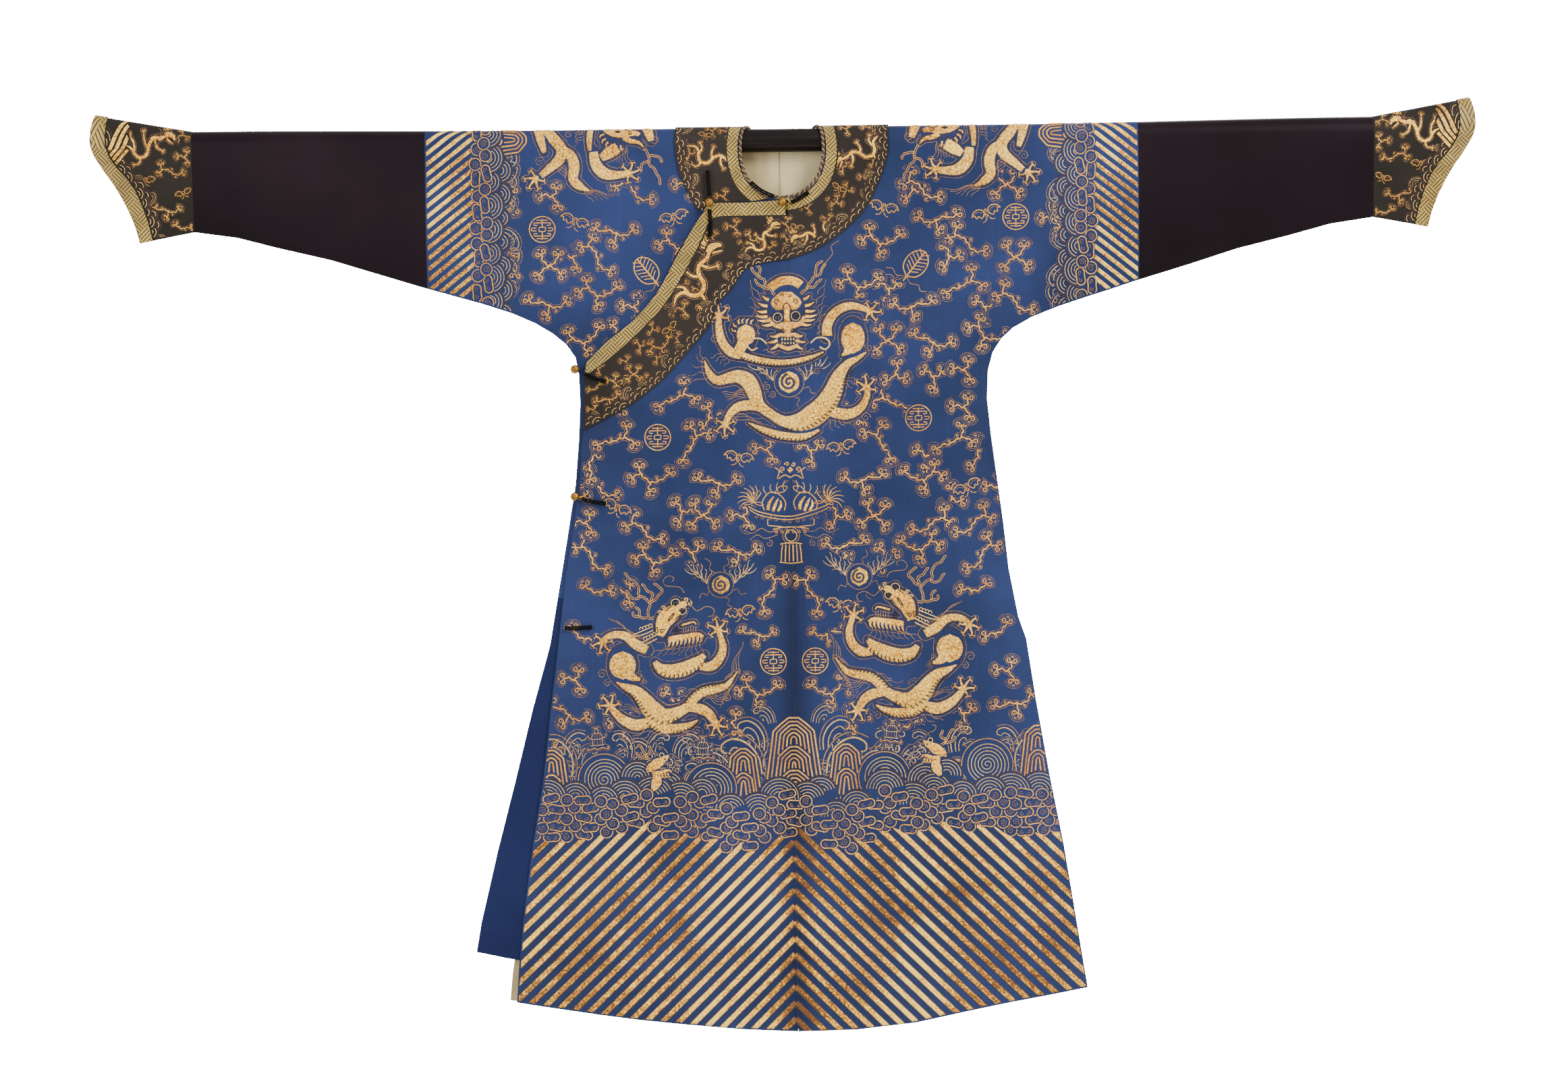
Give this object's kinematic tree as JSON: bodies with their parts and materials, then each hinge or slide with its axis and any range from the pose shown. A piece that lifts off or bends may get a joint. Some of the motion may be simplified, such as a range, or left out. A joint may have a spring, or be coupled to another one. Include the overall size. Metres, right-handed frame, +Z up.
{
  "type": "chinese dragon robe on a hanging rod",
  "caption": "Full-length blue silk dragon robe with couched gold dragons, clouds and waves, dark facings and horseshoe cuffs, hung flat on a round rod through the sleeves.",
  "frame": {"origin": "middle of the rod's axis, where a stand or a pair of wires holds the rod up", "axes": "+X along the rod towards the wearer's left sleeve, -Y out of the robe's front, +Z up"},
  "size_m": [2.151, 0.0651, 1.4387],
  "materials": {
    "blue_silk": "fine plain silk with couched gold thread",
    "dark_silk": "plain dark silk, soft sheen",
    "facing_silk": "dark silk with couched thread",
    "fret_brocade": "woven gold fret brocade",
    "lining_silk": "fine ribbed silk",
    "twisted_piping": "two-colour twisted cord",
    "black_cord": "braided cord",
    "gilt_brass": "worn gilding",
    "lacquered_rod": "glossy lacquer"
  },
  "bodies": {
    "root": {"rod": "lacquered_rod", "body_left": "blue_silk", "body_right": "blue_silk", "front_overlap": "blue_silk", "sleeve_left": "dark_silk", "sleeve_right": "dark_silk", "cuff_left": "facing_silk", "cuff_right": "facing_silk", "cuff_band_left": "fret_brocade", "cuff_band_right": "fret_brocade", "facing_left": "facing_silk", "facing_right": "facing_silk", "facing_overlap": "facing_silk", "neck_band_left": "fret_brocade", "neck_band_right": "fret_brocade", "overlap_band": "fret_brocade", "neck_piping": "twisted_piping", "back_lining": "lining_silk", "cord_neck_left": "black_cord", "cord_neck_right": "black_cord", "cord_corner_upper": "black_cord", "cord_corner_lower": "black_cord", "cord_underarm": "black_cord", "cord_side": "black_cord", "cord_vent": "black_cord", "button_neck": "gilt_brass", "button_corner": "gilt_brass", "button_underarm": "gilt_brass", "button_side": "gilt_brass"}
  },
  "joints": []
}
